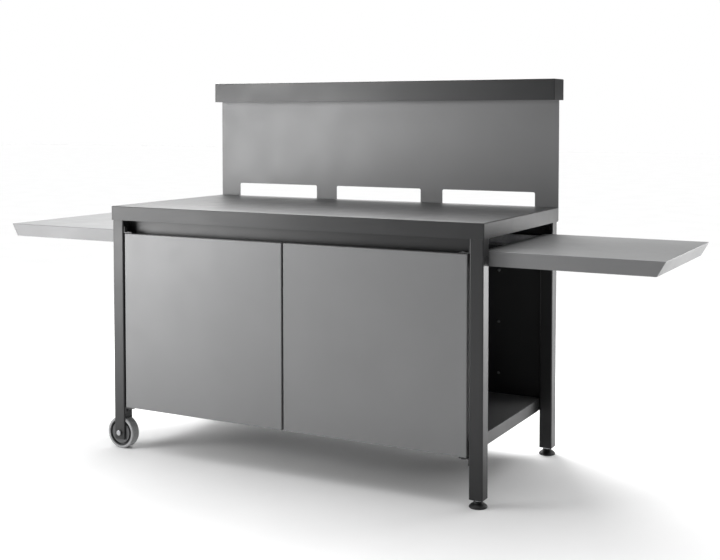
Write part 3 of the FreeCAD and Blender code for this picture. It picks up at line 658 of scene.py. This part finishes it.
def make_foot(end):
    """A domed pad and a threaded stem with a hexagon collar."""
    pad = middle(end + "_foot_pad")
    centre = (pad.x, pad.y, 0)
    done(turned(end + "_pad", FOOT_PAD, centre), end + "_foot", end + "_foot_pad", smooth=50)
    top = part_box(end + "_foot_stem")[1].z / MM
    rings = list(STEM_SHANK)
    height = THREAD_START
    while height < top - STEM_TIP_ROOM:
        rings += [(radius, height + rise) for radius, rise in THREAD_TURN]
        height += THREAD_PITCH
    rings += [(radius, top + rise) for radius, rise in STEM_TIP]
    stem = turned("stem", rings, centre, sides=32)
    collar = turned("collar", FOOT_COLLAR, centre, sides=6)
    done(join(stem, collar), end + "_foot", end + "_foot_stem", smooth=30)


for node in ("worktop", "splash_cap"):
    done(cover(node), "frame", node)
make_tray()
for side in ("left", "right"):
    make_door(side)
    make_shelf(side)
make_splash()
make_posts()
for end in ("front", "rear"):
    for side in ("left", "right"):
        make_leg(end, side)
    make_wheel(end)
    make_foot(end)
make_shade_plugs()
make_axle_bolts()


# Studio

FLOOR_SIZE = 60

# Bright patches of the sky: direction, sharpness and power
SKY = (
    ((-0.05, 0.1, 0.99), 3, 1.57),
    ((-0.6, 0.6, 0.53), 8, 1.64),
    ((0.2, 0.55, 0.8), 12, 2.3),
)
SKY_ELSEWHERE = 0.03

# Soft lamps: name, place, aim, width and height in metres, power in watts, spread in degrees
LAMPS = (
    ("left_softbox", (-1.85, -1.75, 0.72), (-0.3, -0.2, 0.62), 1.2, 1.15, 42, 180),
    ("high_softbox", (-1.6, -1.9, 1.5), (0.05, 0.28, 1.04), 0.9, 0.5, 1.35, 40),
    ("top_softbox", (0.0, -0.4, 3.0), (0.0, 0.0, 0.75), 2.4, 1.6, 10, 180),
    ("rear_softbox", (-0.9, 1.2, 2.2), (-0.1, 0.0, 0.75), 1.8, 1.0, 70, 180),
    ("right_softbox", (2.1, 1.9, 0.35), (0.6, 0.0, 0.35), 0.8, 0.5, 22, 180),
)

# Camera: place in metres, angles in degrees, lens and sensor in millimetres
CAMERA_PLACE = (1.7765, -3.1618, 1.0464)
CAMERA_TURN = 28.16
CAMERA_DOWN = 2.386
CAMERA_LENS = 58.148
CAMERA_SHIFT = -0.16
SENSOR_WIDTH = 36


def make_floor():
    rest_hands()
    bpy.ops.mesh.primitive_plane_add(size=FLOOR_SIZE, location=(0, 0, 0))
    floor = bpy.context.object
    floor.name = "studio_floor"
    f = Finish("white studio floor")
    grain = f.noise(3, detail=3)
    f.set(Base_Color=f.blend(f.between(grain), (0.90, 0.90, 0.90), (0.92, 0.92, 0.92)), Roughness=0.9,
          Specular_IOR_Level=0.0)
    floor.data.materials.append(f.material)


def make_world():
    """White for the camera. For the cart it is bright overhead and behind, and dim elsewhere."""
    f = Finish()
    bpy.context.scene.world = f.material
    way = f.node("ShaderNodeTexCoord", out="Generated")
    light = SKY_ELSEWHERE
    for direction, sharpness, power in SKY:
        along = f.node("ShaderNodeVectorMath", {"operation": "DOT_PRODUCT"}, {
            0: way, 1: Vector(direction).normalized()}, out="Value")
        light = f.math("MAXIMUM", along) ** sharpness * power + light
    seen = f.node("ShaderNodeLightPath", out="Is Camera Ray")
    f.set(Color=(1, 1, 1, 1), Strength=light * (1 - seen) + seen)


def softbox(name, place, aim, width, height, power, spread):
    rest_hands()
    bpy.ops.object.light_add(type="AREA", location=place)
    lamp = bpy.context.object
    lamp.name = name
    lamp.data.shape = "RECTANGLE"
    lamp.data.size, lamp.data.size_y, lamp.data.energy = width, height, power
    lamp.data.spread = math.radians(spread)
    lamp.rotation_euler = (Vector(aim) - Vector(place)).to_track_quat("-Z", "Y").to_euler()


def make_camera():
    bpy.ops.object.camera_add(location=CAMERA_PLACE,
                              rotation=(math.radians(90 - CAMERA_DOWN), 0, math.radians(CAMERA_TURN)))
    camera = bpy.context.object
    camera.data.sensor_width = SENSOR_WIDTH
    camera.data.lens = CAMERA_LENS
    camera.data.shift_y = CAMERA_SHIFT
    bpy.context.scene.camera = camera


make_floor()
make_world()
for lamp in LAMPS:
    softbox(*lamp)
make_camera()
bpy.context.scene.view_settings.view_transform = "Standard"
